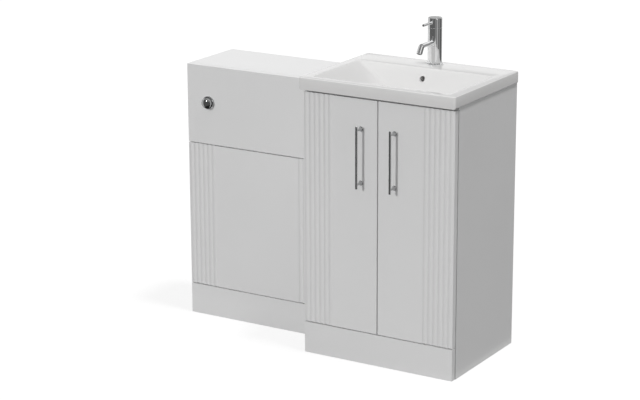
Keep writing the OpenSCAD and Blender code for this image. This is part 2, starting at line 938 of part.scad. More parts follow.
module flush_button() {
    crown = 5;
    shank_l = 14;
    crown_r = (pow(button_d / 2, 2) + pow(crown, 2)) / (2 * crown);
    color("silver") at_button() intersection() {
        translate([0, 0, -shank_l]) cylinder(h = shank_l + button_out, d = button_d);
        translate([0, 0, button_out - crown_r]) sphere(r = crown_r, $fn = 128);
        translate([0, 0, -shank_l]) cylinder(h = 2 * crown_r, d = button_d);
    }
}

module bezel_nut() {
    color("lightgray") translate([bezel_x, wc_back_of_front, button_z]) rotate([-90, 0, 0])
        difference() {
            cylinder(h = 9, r = barrel_r + 5, $fn = 6);
            translate([0, 0, -tiny]) cylinder(h = 9 + 2 * tiny, r = barrel_r + fit_clear);
        }
}

// Basin

module bowl_form(grow, floor_drop) {
    top_r = bowl_corner_r + grow;
    low_r = bowl_corner_r + grow;
    hull() {
        translate([mid_x - bowl_w / 2 - grow, bowl_y - grow, rim_z - tiny])
            linear_extrude(2 * tiny)
                rounded_rect(bowl_w + 2 * grow, bowl_d + 2 * grow, top_r, $fn = 32);
        translate([mid_x - floor_w / 2 - grow, floor_y - grow, floor_z - floor_drop])
            linear_extrude(tiny)
                rounded_rect(floor_w + 2 * grow, floor_d + 2 * grow, low_r, $fn = 32);
    }
}

module basin() {
    under_z = rim_z - deck_t;
    front_y = -basin_d;
    color("white") difference() {
        union() {
            difference() {
                translate([basin_x, front_y, lip_z]) linear_extrude(rim_z - lip_z)
                    rounded_rect(basin_w, basin_d, basin_corner_r);
                board(basin_x - 1, front_y + skirt_t, lip_z - 1, basin_w + 2, basin_d,
                      lip_drop + 1);
                board(basin_x + skirt_t, front_y + skirt_t, lip_z - 1, basin_w - 2 * skirt_t,
                      basin_d - 2 * skirt_t, under_z - lip_z + 1);
            }
            intersection() {
                bowl_form(bowl_t, bowl_t);
                board(basin_x + skirt_t / 2, front_y + skirt_t / 2, 0, basin_w - skirt_t,
                      basin_d - skirt_t, under_z + tiny);
            }
            translate([mid_x, waste_y, boss_z])
                cylinder(h = bowl_under_z + 3 - boss_z, r = boss_r);
            passage(passage_w + 2 * passage_wall, -passage_wall, passage_t + passage_wall,
                    passage_low - passage_wall, under_z + 1,
                    waste_y + boss_r - 8, bowl_under_z + 3);
        }
        bowl_form(0, 0);
        board(mid_x - bowl_w / 2, bowl_y, rim_z, bowl_w, bowl_d, 1);
        translate([mid_x, waste_y, boss_z - 1]) cylinder(h = boss_l + 3, d = waste_hole_d);
        translate([tap_x, -tap_y, under_z - 1]) cylinder(h = deck_t + 2, d = tap_hole_d);
        translate([mid_x, overflow_y + 18, rim_z - overflow_z]) rotate([90, 0, 0])
            cylinder(h = 30, d = overflow_d);
        passage(passage_w, 0.6, passage_t, passage_low, rim_z - overflow_z + overflow_d / 2 + 2.5,
                waste_y + waste_hole_d / 2 - 4, passage_low + passage_h);
    }
}

// The bowl's outer face at the back, at height z
function wall_out(z) =
    bowl_t - deck_back - bowl_back_run * (rim_z - z) / (bowl_depth + bowl_t);

// Way of the overflow's water: down behind the bowl, then forwards to the waste. It starts
// at the height top, keeps the distances near and far from the bowl, and runs under roof
module passage(w, near, far, low, top, front, roof) {
    translate([mid_x - w / 2, 0, 0]) rotate([90, 0, 90]) linear_extrude(w)
        polygon([[wall_out(top) + near, top], [wall_out(top) + far, top],
                 [wall_out(low) + far, low], [front, low],
                 [front, roof], [wall_out(roof) + near, roof]]);
}

// Waste: flange on the bowl's floor, slots for the overflow, and a bridge for the plug's stem
module at_waste() {
    translate([mid_x, waste_y, 0]) children();
}

module waste_body() {
    bore_r = waste_tail_d / 2 - waste_wall;
    color("silver") at_waste() {
        translate([0, 0, floor_z]) tube(waste_flange_t, waste_flange_d / 2, bore_r);
        difference() {
            translate([0, 0, waste_end_z]) tube(floor_z - waste_end_z, waste_tail_d / 2, bore_r);
            translate([-slot_w / 2, -waste_tail_d, passage_low])
                cube([slot_w, 2 * waste_tail_d, passage_h]);
        }
        translate([0, 0, guide_z]) {
            tube(guide_h, stem_d / 2 + 3, stem_d / 2 + fit_clear);
            for (a = [0, 120, 240]) rotate(a) translate([stem_d / 2 + 1.5, -1.25, 0])
                cube([bore_r - stem_d / 2 - 1, 2.5, guide_h]);
        }
    }
}

module waste_washer() {
    color("dimgray") at_waste() translate([0, 0, boss_z - washer_t])
        tube(washer_t, waste_hole_d / 2 + 6, waste_tail_d / 2 + fit_clear);
}

module waste_nut() {
    color("silver") at_waste() translate([0, 0, boss_z - washer_t - nut_h]) difference() {
        cylinder(h = nut_h, r = waste_hole_d / 2 + 7, $fn = 6);
        translate([0, 0, -tiny]) cylinder(h = nut_h + 2 * tiny, r = waste_tail_d / 2 + fit_clear);
    }
}

module waste_plug() {
    crown = 2.5;
    plug_z = floor_z + waste_flange_t + run_clear;
    stem_low = guide_z + guide_h - plug_lift - 4;
    crown_r = (pow(plug_d / 2, 2) + pow(crown, 2)) / (2 * crown);
    color("silver") at_waste() {
        translate([0, 0, plug_z]) rotate_extrude() intersection() {
            square([plug_d / 2, plug_t]);
            translate([0, plug_t - crown_r]) circle(r = crown_r, $fn = 720);
        }
        translate([0, 0, stem_low]) cylinder(h = plug_z + 1 - stem_low, d = stem_d);
    }
}

// Bottle trap

// Grip ribs round a nut or a cup
module grips(count, r, h) {
    for (i = [0:count - 1]) rotate((i + 0.5) * 360 / count) translate([r - 1, -1.5, 0])
        cube([2.5, 3, h]);
}

module trap_body() {
    shelf_z = trap_body_z + trap_body_h - trap_wall;
    color("white") at_waste() {
        trap_shell();
        translate([0, 0, shelf_z + 0.5])
            tube(trap_wall - 1, waste_tail_d / 2 - waste_wall + 1, dip_r - dip_wall);
        translate([0, 0, dip_z]) tube(shelf_z + 1 - dip_z, dip_r, dip_r - dip_wall);
    }
}

module trap_shell() {
    difference() {
        union() {
            translate([0, 0, trap_body_z + trap_body_h + 4])
                grips(12, trap_collar_d / 2, trap_neck_h - 8);
            translate([0, 0, trap_body_z]) cylinder(h = trap_body_h, d = trap_d);
            translate([0, 0, trap_body_z + trap_body_h])
                cylinder(h = trap_neck_h, d = trap_collar_d);
            translate([0, trap_d / 2 - 6, outlet_z]) rotate([-90, 0, 0])
                cylinder(h = outlet_nut_l, d = outlet_nut_d);
        }
        translate([0, 0, waste_end_z]) cylinder(h = cut_l, d = waste_tail_d + 2 * fit_clear);
        translate([0, 0, trap_body_z - tiny])
            cylinder(h = trap_body_h - trap_wall, d = trap_d - 2 * trap_wall);
        translate([0, 0, trap_body_z + trap_body_h - trap_wall - 1])
            cylinder(h = waste_end_z - trap_body_z - trap_body_h + trap_wall + 2,
                     d = waste_tail_d - 2 * waste_wall);
        translate([0, trap_d / 2 - 12, outlet_z]) rotate([-90, 0, 0])
            cylinder(h = cut_l, d = outlet_d - 2 * outlet_wall);
        translate([0, trap_d / 2 + 4, outlet_z]) rotate([-90, 0, 0])
            cylinder(h = cut_l, d = outlet_d + 2 * fit_clear);
    }
}

module trap_cup() {
    cup_r = trap_d / 2 + 4;
    color("white") at_waste() difference() {
        union() {
            translate([0, 0, trap_cup_z + 12]) cylinder(h = trap_cup_h - 12, r = cup_r);
            translate([0, 0, trap_cup_z]) cylinder(h = 12, r1 = cup_r - 10, r2 = cup_r);
            translate([0, 0, trap_cup_z + 16]) grips(12, cup_r, 30);
        }
        translate([0, 0, trap_body_z]) cylinder(h = 40, r = trap_d / 2 + fit_clear);
        translate([0, 0, trap_cup_z + cup_floor]) cylinder(h = trap_cup_h, r = cup_r - 12);
    }
}

module trap_outlet() {
    start_y = waste_y + trap_d / 2 + 4;
    bore_r = outlet_d / 2 - outlet_wall;
    color("white") translate([mid_x, 0, outlet_z]) rotate([-90, 0, 0]) {
        translate([0, 0, start_y]) tube(-start_y, outlet_d / 2, bore_r);
        translate([0, 0, outlet_nut_y + outlet_nut_l + run_clear])
            tube(outlet_bead_w, outlet_d / 2 + outlet_bead_out, outlet_d / 2 - outlet_wall / 2);
    }
}

// Tap

module at_tap() {
    translate([tap_x, -tap_y, rim_z]) children();
}

module tap_body() {
    ring_edge = 2;
    color("silver") at_tap() difference() {
        union() {
            cylinder(h = tap_ring_h - ring_edge, d = tap_ring_d);
            translate([0, 0, tap_ring_h - ring_edge])
                cylinder(h = ring_edge, d1 = tap_ring_d, d2 = tap_d + 1);
            cylinder(h = tap_body_h, d = tap_d);
            translate([0, 0, -tap_shank_l]) cylinder(h = tap_shank_l, d = tap_shank_d);
        }
        translate([0, 0, tap_body_h - cartridge_h])
            cylinder(h = tap_body_h, r = stem_r + fit_clear);
        for (x = [-tail_x, tail_x]) translate([x, tail_y, -tap_shank_l - tiny])
            cylinder(h = tail_bore_l, d = tail_bore_d);
        translate([0, stud_y, -tap_shank_l - tiny])
            cylinder(h = stud_in + tiny, d = stud_d + 2 * fit_clear);
        translate([0, 0, spout_z]) rotate([90, 0, 0]) cylinder(h = tap_d, d = spout_d - 3);
    }
}

// Tube from the body's front to the bend, and the slanted outlet
module tap_spout() {
    wall = 1.5;
    start = tap_d / 2 - 1.5;
    color("silver") at_tap() translate([0, 0, spout_z]) {
        difference() {
            translate([0, -start, 0]) rotate([90, 0, 0])
                cylinder(h = spout_reach - start, d = spout_d);
            translate([0, -start + tiny, 0]) rotate([90, 0, 0])
                cylinder(h = spout_reach - start - 8, d = spout_d - 2 * wall);
            translate([0, 0, -spout_z]) cylinder(h = 2 * spout_z, d = tap_d + 0.02);
        }
        difference() {
            union() {
                translate([0, -spout_reach, 0]) sphere(d = spout_d + 1);
                nozzle_axis() cylinder(h = nozzle_l, d = nozzle_d);
                nozzle_axis() translate([0, 0, -3]) cylinder(h = 3, d1 = spout_d, d2 = nozzle_d);
            }
            nozzle_axis() translate([0, 0, nozzle_l - 8]) cylinder(h = 9, d = nozzle_d - 3);
        }
    }
}

module nozzle_axis() {
    translate([0, -spout_reach, 0]) rotate([180 - spout_lean, 0, 0])
        translate([0, 0, 1]) children();
}

module tap_aerator() {
    color("dimgray") at_tap() translate([0, 0, spout_z]) nozzle_axis()
        translate([0, 0, nozzle_l - 8]) cylinder(h = 7, d = nozzle_d - 3 - 2 * fit_clear);
}

// Cartridge stem, which turns with the cap
module tap_stem() {
    pin_l = tap_d / 2 - cap_wall + tilt_pin_in - 0.1;
    color("gray") at_tap() {
        translate([0, 0, tap_body_h - cartridge_h])
            cylinder(h = cartridge_h + neck_h, r = stem_r);
        translate([-pin_l, 0, cap_z + tilt_up - rim_z]) rotate([0, 90, 0])
            cylinder(h = 2 * pin_l, r = tilt_pin_r);
    }
}

// Cap with its hollow, cut away behind so that it can tip back
module tap_cap() {
    edge = 1;
    r = tap_d / 2;
    pin_l = r - cap_wall + tilt_pin_in;
    color("silver") translate([tap_x, -tap_y, cap_z]) difference() {
        union() {
            cylinder(h = tap_cap_h - edge, r = r);
            translate([0, 0, tap_cap_h - edge]) cylinder(h = edge, r1 = r, r2 = r - edge);
        }
        translate([0, 0, -tiny]) cylinder(h = cap_hollow, r = r - cap_wall);
        translate([-pin_l, 0, tilt_up]) rotate([0, 90, 0])
            cylinder(h = 2 * pin_l, r = tilt_pin_r + fit_clear);
        translate([0, lever_in - r, lever_z - cap_z]) rotate([90, 0, 0])
            cylinder(h = r, d = lever_d + 2 * fit_clear);
        translate([0, 0, tilt_up]) rotate([lift_max, 0, 0])
            translate([-tap_d, -tap_d, -tap_d - tilt_up - 0.5])
                cube([2 * tap_d, 2 * tap_d, tap_d]);
    }
}

module tap_lever() {
    start = tap_d / 2 - lever_in;
    color("silver") translate([tap_x, -tap_y - start, lever_z]) rotate([90, 0, 0]) {
        cylinder(h = lever_reach - start - 1, d = lever_d);
        translate([0, 0, lever_reach - start - 1]) cylinder(h = 1, d1 = lever_d, d2 = lever_d - 2);
    }
}

// Stud, horseshoe washer and nut under the deck
module tap_fixing() {
    shoe_z = rim_z - deck_t - shoe_t;
    color("silver") translate([tap_x, -tap_y, 0]) {
        translate([0, stud_y, rim_z - tap_shank_l + stud_in - stud_l])
            cylinder(h = stud_l, d = stud_d);
        translate([0, 0, shoe_z]) difference() {
            cylinder(h = shoe_t, d = tap_hole_d + 11);
            translate([-shoe_slot / 2, -30, -tiny]) cube([shoe_slot, 34, shoe_t + 1]);
        }
        translate([0, stud_y, shoe_z - tap_nut_h]) cylinder(h = tap_nut_h, r = 7, $fn = 6);
    }
}

// Copper tails with necks in the body, cut at two heights so that their couplings pass
module tap_tails() {
    neck_d = tail_bore_d - 4 * fit_clear;
    top = tail_bore_l - tap_shank_l - 0.5;
    for (side = [-1, 1]) {
        tail_l = side < 0 ? hot_tail_l : cold_tail_l;
        color("peru") at_tap() translate([side * tail_x, tail_y, -tail_l]) difference() {
            union() {
                cylinder(h = tail_l - tail_neck_l, d = tail_d);
                cylinder(h = tail_l + top, d = neck_d);
            }
            translate([0, 0, -tiny]) cylinder(h = tail_l + tail_bore_l, d = tail_d - 2 * tail_wall);
        }
    }
}

vanity_left_side();
vanity_right_side();
vanity_base();
vanity_back_panel();
vanity_back_rail();
vanity_front_rail();
vanity_shelf();
shelf_pins();
vanity_plinth();
door();  // left_door
right_hand() door();  // right_door
handle();  // left_handle
right_hand() handle();  // right_handle
handle_screws();  // left_handle_screws
right_hand() handle_screws();  // right_handle_screws
hinge_cups();  // left_hinge_cups
right_hand() hinge_cups();  // right_hinge_cups
hinge_links();  // left_hinge_links
right_hand() hinge_links();  // right_hinge_links
hinge_arms();  // left_hinge_arms
right_hand() hinge_arms();  // right_hinge_arms
door_buffers();  // left_door_buffers
right_hand() door_buffers();  // right_door_buffers
wc_left_side();
wc_right_side();
wc_top();
wc_fascia();
wc_front_panel();
wc_plinth();
wc_middle_rail();
wc_back_rail();
panel_clips();
connector_bolts();
wall_brackets();
cistern_tank();
cistern_lid();
flush_valve();
flush_seal();
fill_valve();
float_cup();
flush_pipe();
flush_bezel();
flush_button();
bezel_nut();
basin();
waste_body();
waste_washer();
waste_nut();
waste_plug();
trap_body();
trap_cup();
trap_outlet();
tap_body();
tap_spout();
tap_aerator();
tap_stem();
tap_cap();
tap_lever();
tap_fixing();
tap_tails();
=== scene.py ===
"""Toilet and basin combination unit: finishes, finer pieces, lights and camera.

Metres, +X along the wall, +Y towards the wall, +Z up, as in the CAD model.
"""

import math

import bmesh
import bpy
from mathutils import Matrix, Vector


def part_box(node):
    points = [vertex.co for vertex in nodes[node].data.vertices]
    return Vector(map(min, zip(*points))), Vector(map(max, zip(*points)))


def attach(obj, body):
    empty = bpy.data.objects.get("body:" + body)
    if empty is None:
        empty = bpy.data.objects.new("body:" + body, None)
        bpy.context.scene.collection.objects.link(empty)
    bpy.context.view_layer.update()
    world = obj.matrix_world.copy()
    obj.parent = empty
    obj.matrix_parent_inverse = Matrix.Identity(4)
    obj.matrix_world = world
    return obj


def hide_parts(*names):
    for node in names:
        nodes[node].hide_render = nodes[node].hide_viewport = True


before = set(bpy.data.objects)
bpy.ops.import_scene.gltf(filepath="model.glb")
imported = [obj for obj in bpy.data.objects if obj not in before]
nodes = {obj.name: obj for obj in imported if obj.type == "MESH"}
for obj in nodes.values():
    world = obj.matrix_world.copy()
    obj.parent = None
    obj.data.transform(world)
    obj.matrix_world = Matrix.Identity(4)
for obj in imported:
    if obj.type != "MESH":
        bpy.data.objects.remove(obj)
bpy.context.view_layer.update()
scene = bpy.context.scene

MM = 0.001
# where the vanity's middle, the tap's axis and the waste's axis stand
MID_X = 250 * MM
TAP_Y = -45 * MM
WASTE_Y = -243 * MM
VANITY_W = 500 * MM
# a corner flatter than this is shaded as round
SMOOTH_ANGLE = math.radians(32)


# ---------------------------------------------------------------- materials


class Finish:
    """A Principled material whose colour, gloss and bump come from noise or cells in object space."""

    def __init__(self, name):
        self.material = bpy.data.materials.new(name)
        self.material.use_nodes = True
        self.tree = self.material.node_tree
        self.tree.nodes.clear()
        self.shader = self.new("ShaderNodeBsdfPrincipled")
        out = self.new("ShaderNodeOutputMaterial")
        self.link(self.shader.outputs["BSDF"], out.inputs["Surface"])
        self.place = self.new("ShaderNodeTexCoord").outputs["Object"]

    def new(self, kind):
        return self.tree.nodes.new(kind)

    def link(self, a, b):
        self.tree.links.new(a, b)

    def set(self, **values):
        for name, value in values.items():
            self.shader.inputs[name.replace("_", " ")].default_value = value
        return self

    def stretched(self, scale):
        """The place, scaled differently along each axis."""
        mapping = self.new("ShaderNodeMapping")
        mapping.inputs["Scale"].default_value = scale
        self.link(self.place, mapping.inputs["Vector"])
        return mapping.outputs["Vector"]

    def noise(self, scale, detail=3.0, rough=0.5, vector=None):
        node = self.new("ShaderNodeTexNoise")
        node.inputs["Scale"].default_value = scale
        node.inputs["Detail"].default_value = detail
        node.inputs["Roughness"].default_value = rough
        self.link(vector or self.place, node.inputs["Vector"])
        return node.outputs["Fac"]

    def cells(self, scale):
        node = self.new("ShaderNodeTexVoronoi")
        node.inputs["Scale"].default_value = scale
        self.link(self.place, node.inputs["Vector"])
        return node.outputs["Distance"]

    def colour(self, value, stops):
        """Blends between two stops, each a position and a colour."""
        ramp = self.new("ShaderNodeValToRGB")
        for element, (position, rgb) in zip(ramp.color_ramp.elements, stops):
            element.position = position
            element.color = (*rgb, 1)
        self.link(value, ramp.inputs["Fac"])
        self.link(ramp.outputs["Color"], self.shader.inputs["Base Color"])
        return self

    def roughness(self, value, low, high):
        node = self.new("ShaderNodeMapRange")
        node.inputs["To Min"].default_value = low
        node.inputs["To Max"].default_value = high
        self.link(value, node.inputs["Value"])
        self.link(node.outputs["Result"], self.shader.inputs["Roughness"])
        return self

    def bump(self, value, strength, distance):
        node = self.new("ShaderNodeBump")
        node.inputs["Strength"].default_value = strength
        node.inputs["Distance"].default_value = distance
        self.link(value, node.inputs["Height"])
        self.link(node.outputs["Normal"], self.shader.inputs["Normal"])
        return self


def grey(level, warm=0.0):
    """A grey with a little more red and less blue, or the other way round."""
    return (level + warm, level, level - warm)


def lacquer():
    """White gloss lacquer on board: faint orange peel and a barely uneven tone."""
    f = Finish("white_lacquer").set(Specular_IOR_Level=0.3, Coat_Weight=0.08, Coat_Roughness=0.12)
    f.colour(f.noise(3.5, 4), [(0.3, grey(0.825)), (0.7, grey(0.84))])
    f.roughness(f.noise(60, 3), 0.26, 0.36)
    return f.bump(f.noise(420, 2), 0.05, 0.0004).material


def melamine():
    """White melamine-faced board: fine pearl texture pressed into the face."""
    f = Finish("white_melamine").set(Specular_IOR_Level=0.4)
    f.colour(f.noise(30, 6), [(0.35, grey(0.76, 0.004)), (0.65, grey(0.80, 0.004))])
    f.roughness(f.noise(90, 3), 0.42, 0.56)
    return f.bump(f.cells(700), 0.12, 0.0005).material


def glazed():
    """White gloss basin: smooth, slightly warm, with a faint waviness."""
    f = Finish("basin_white").set(Specular_IOR_Level=0.5, Coat_Weight=0.35, Coat_Roughness=0.04)
    f.colour(f.noise(2.2, 3), [(0.3, grey(0.735, 0.004)), (0.7, grey(0.75, 0.003))])
    f.roughness(f.noise(25, 3), 0.14, 0.22)
    return f.bump(f.noise(28, 2), 0.03, 0.0008).material


def chrome(name, low=0.035, high=0.075, bright=0.94):
    """Polished chrome: metal with faint smears in its tone and gloss."""
    f = Finish(name).set(Metallic=1.0)
    dark = grey(bright - 0.02, -0.006)
    light = grey(bright + 0.03, -0.004)
    f.colour(f.noise(9, 3), [(0.3, dark), (0.7, light)])
    f.roughness(f.noise(70, 5, 0.6), low, high)
    return f.bump(f.noise(160, 2), 0.01, 0.0002).material


def copper():
    """Drawn copper tube: warm metal, a little dulled, with faint lines along it."""
    f = Finish("copper").set(Metallic=1.0)
    f.colour(f.noise(30, 5, 0.6), [(0.3, (0.68, 0.36, 0.25)), (0.7, (0.80, 0.47, 0.34))])
    f.roughness(f.noise(50, 4), 0.20, 0.36)
    return f.bump(f.noise(300, 3, 0.5, f.stretched((1, 1, 0.08))), 0.06, 0.0002).material


def plated_steel():
    """Zinc or nickel plate on pressed steel: fine grain drawn along one way."""
    f = Finish("plated_steel").set(Metallic=1.0)
    grain = f.noise(40, 5, 0.6, f.stretched((1, 1, 26)))
    f.colour(f.noise(45, 4), [(0.3, (0.50, 0.51, 0.52)), (0.7, (0.62, 0.63, 0.64))])
    f.roughness(grain, 0.24, 0.42)
    return f.bump(grain, 0.06, 0.0002).material


def moulded(name, dark, light, rough=(0.3, 0.42), warm=0.0):
    """Moulded plastic with a fine spark-eroded grain."""
    f = Finish(name).set(Specular_IOR_Level=0.45)
    f.colour(f.noise(14, 4), [(0.3, grey(dark, warm)), (0.7, grey(light, warm))])
    f.roughness(f.noise(120, 3), *rough)
    return f.bump(f.cells(900), 0.08, 0.0003).material


def rubber():
    """Black rubber: dull, with a fine grain."""
    f = Finish("rubber").set(Specular_IOR_Level=0.3)
    f.colour(f.noise(50, 5), [(0.3, grey(0.018)), (0.7, grey(0.035))])
    f.roughness(f.noise(160, 4), 0.6, 0.82)
    return f.bump(f.noise(500, 3), 0.15, 0.0003).material


LACQUER = lacquer()
MELAMINE = melamine()
GLAZED = glazed()
CHROME = chrome("chrome")
SATIN = chrome("satin_chrome", low=0.08, high=0.14, bright=0.50)
# painted shade: the flush button gets a darker copy of the chrome, standing for the shaded fascia
# that it mirrors
SHADED_BUTTON_CHROME = chrome("button_chrome_painted_shade", low=0.05, high=0.10, bright=0.56)
JOINT_CHROME = chrome("joint_chrome", low=0.30, high=0.38, bright=0.92)
COPPER = copper()
STEEL = plated_steel()
WHITE_PLASTIC = moulded("white_plastic", 0.74, 0.79)
GREY_PLASTIC = moulded("grey_plastic", 0.10, 0.13, rough=(0.4, 0.55))
BLUE_GREY_PLASTIC = moulded("valve_plastic", 0.42, 0.47, rough=(0.35, 0.5), warm=-0.01)
RUBBER = rubber()

FINISHES = {
    "vanity_plinth left_door right_door wc_fascia wc_front_panel wc_plinth wc_top": LACQUER,
    "vanity_left_side vanity_right_side wc_left_side wc_right_side": LACQUER,
    "vanity_base vanity_back_panel vanity_back_rail vanity_front_rail vanity_shelf": MELAMINE,
    "wc_middle_rail wc_back_rail": MELAMINE,
    "tap_body tap_spout tap_cap tap_lever waste_body waste_plug": CHROME,
    "flush_bezel flush_button": SHADED_BUTTON_CHROME,
    "left_handle right_handle": SATIN,
    "shelf_pins left_handle_screws right_handle_screws left_hinge_cups right_hinge_cups": STEEL,
    "left_hinge_links right_hinge_links left_hinge_arms right_hinge_arms": STEEL,
    "connector_bolts wall_brackets tap_fixing": STEEL,
    "tap_tails": COPPER,
    "basin": GLAZED,
    "cistern_tank cistern_lid flush_pipe trap_body trap_cup trap_outlet float_cup": WHITE_PLASTIC,
    "panel_clips bezel_nut waste_nut tap_aerator tap_stem": GREY_PLASTIC,
    "flush_valve fill_valve": BLUE_GREY_PLASTIC,
    "left_door_buffers right_door_buffers waste_washer flush_seal": RUBBER,
}


def smooth_edges(obj):
    """Shades round faces as round and keeps the edges of true corners crisp."""
    obj.data.shade_smooth()
    obj.data.set_sharp_from_angle(angle=SMOOTH_ANGLE)


for names, finish in FINISHES.items():
    for name in names.split():
        materials = nodes[name].data.materials
        materials.clear()
        materials.append(finish)


# ---------------------------------------------------------------- soft edges on the boards


EDGE_ROUND = 0.6 * MM
FLAT_ANGLE = math.radians(0.5)
EDGE_ANGLE = math.radians(35)
BOARDS = (
    "vanity_plinth wc_fascia wc_front_panel wc_plinth wc_top vanity_right_side wc_left_side "
    "left_door right_door vanity_left_side wc_right_side vanity_base vanity_shelf"
)


def soften(obj):
    """Merges a board's flat faces and rounds its edges, so that they catch the light."""
    flat = obj.modifiers.new("flat", "DECIMATE")
    flat.decimate_type = "DISSOLVE"
    flat.angle_limit = FLAT_ANGLE
    bevel = obj.modifiers.new("edges", "BEVEL")
    bevel.width = EDGE_ROUND
    bevel.segments = 2
    bevel.limit_method = "ANGLE"
    bevel.angle_limit = EDGE_ANGLE
    bevel.harden_normals = True


for name in BOARDS.split():
    soften(nodes[name])


# ---------------------------------------------------------------- basin

BASIN = dict(left=-5 * MM, right=505 * MM, front=-396 * MM, back=0.0, top=841 * MM)
BOWL_TOP = dict(left=25 * MM, right=475 * MM, front=-368 * MM, back=-101 * MM)
BOWL_LOW = dict(left=195 * MM, right=305 * MM, front=-320 * MM, back=-166 * MM)
BOWL_DEPTH = 95 * MM
BOWL_WALL = 9 * MM
BOWL_CORNER = 12 * MM
BOTTOM_STEPS = 3
TOP_STEPS = 5
ROLL_STEPS = 5
FLOOR_STEPS = 7
CORNER_STEPS = 10
CYLINDER_STEPS = 64
SIDES = ("left", "right", "front", "back")


def ring(edge, radius, height):
    """Points of a rounded rectangle whose sides each have their own height."""
    x0, x1, y0, y1 = (edge[s] for s in SIDES)
    corners = (
        (x1 - radius, y0 + radius, -90, "front", "right"),
        (x1 - radius, y1 - radius, 0, "right", "back"),
        (x0 + radius, y1 - radius, 90, "back", "left"),
        (x0 + radius, y0 + radius, 180, "left", "front"),
    )
    points = []
    for cx, cy, start, a, b in corners:
        for i in range(CORNER_STEPS + 1):
            t = i / CORNER_STEPS
            angle = math.radians(start + 90 * t)
            x = cx + radius * math.cos(angle)
            y = cy + radius * math.sin(angle)
            z = height[a] + (height[b] - height[a]) * t * t * (3 - 2 * t)
            points.append(Vector((x, y, z)))
    return points


def level(z):
    """The same value for every side."""
    return dict.fromkeys(SIDES, z)


def inset(edge, by):
    """The outline moved inwards by one distance, or by one for each side."""
    by = by if isinstance(by, dict) else level(by)
    return dict(
        left=edge["left"] + by["left"],
        right=edge["right"] - by["right"],
        front=edge["front"] + by["front"],
        back=edge["back"] - by["back"],
    )


def loft(rings, name):
    """A closed mesh through the rings, with a flat end at the first and the last."""
    mesh = bmesh.new()
    rows = [[mesh.verts.new(p) for p in points] for points in rings]
    for low, high in zip(rows, rows[1:]):
        count = len(low)
        for i in range(count):
            j = (i + 1) % count
            mesh.faces.new((low[i], low[j], high[j], high[i]))
    mesh.faces.new(list(reversed(rows[0])))
    mesh.faces.new(rows[-1])
    bmesh.ops.recalc_face_normals(mesh, faces=mesh.faces)
    return finished(mesh, name)


def finished(mesh, name):
    """An object in the scene with the mesh."""
    data = bpy.data.meshes.new(name)
    mesh.to_mesh(data)
    mesh.free()
    obj = bpy.data.objects.new(name, data)
    scene.collection.objects.link(obj)
    return obj


def cylinder(name, radius, low, high):
    """A closed cylinder from one point to the other."""
    low, high = Vector(low), Vector(high)
    axis = high - low
    mesh = bmesh.new()
    turn = axis.to_track_quat("Z", "Y").to_matrix().to_4x4()
    place = Matrix.Translation((low + high) / 2) @ turn
    bmesh.ops.create_cone(
        mesh, cap_ends=True, segments=CYLINDER_STEPS, radius1=radius, radius2=radius,
        depth=axis.length, matrix=place,
    )
    return finished(mesh, name)


def apply_modifiers(obj):
    """Turns what the modifiers make into the object's own mesh."""
    graph = bpy.context.evaluated_depsgraph_get()
    data = bpy.data.meshes.new_from_object(obj.evaluated_get(graph))
    obj.modifiers.clear()
    old = obj.data
    obj.data = data
    bpy.data.meshes.remove(old)


def outside_rings():
    """Underside of the bowl, deck, skirt, and the basin's outside up to its top face."""
    top = BASIN["top"]
    rim, skirt, deck, lip = 33 * MM, 14 * MM, 12 * MM, 3.5 * MM
    corner, skirt_corner = 6 * MM, 3 * MM
    under = top - deck
    bottom = dict(level(top - rim), front=top - rim - lip)
    run = {s: abs(BOWL_LOW[s] - BOWL_TOP[s]) for s in SIDES}

    # underside of the bowl, up to the deck and out to the skirt
    lowest = top - BOWL_DEPTH - BOWL_WALL
    outer_low = inset(BOWL_LOW, -BOWL_WALL)
    share = deck / BOWL_DEPTH
    outer_high = inset(BOWL_TOP, {s: run[s] * share - BOWL_WALL for s in SIDES})
    outer_corner = BOWL_CORNER + BOWL_WALL
    inside = inset(BASIN, skirt)
    chamfer = 1 * MM
    low_edge, low_rise = 8 * MM, 3 * MM
    rings = [
        ring(inset(outer_low, low_edge), BOWL_CORNER, level(lowest)),
        ring(outer_low, outer_corner, level(lowest + low_rise)),
        ring(outer_high, outer_corner, level(under)),
        ring(inside, skirt_corner, level(under)),
        ring(inside, skirt_corner, {s: bottom[s] + chamfer for s in SIDES}),
        ring(inset(BASIN, skirt - chamfer), skirt_corner + chamfer, bottom),
    ]
    # bottom edge, outside and top edge
    bottom_edge = 1.2 * MM
    for i in range(BOTTOM_STEPS + 1):
        a = math.radians(90 * i / BOTTOM_STEPS)
        back = bottom_edge * (1 - math.sin(a))
        height = {s: bottom[s] + bottom_edge * (1 - math.cos(a)) for s in SIDES}
        rings.append(ring(inset(BASIN, back), corner - back, height))
    top_edge = 2.5 * MM
    for i in range(TOP_STEPS + 1):
        a = math.radians(90 * i / TOP_STEPS)
        back = top_edge * (1 - math.cos(a))
        height = level(top - top_edge * (1 - math.sin(a)))
        rings.append(ring(inset(BASIN, back), corner - back, height))
    return rings


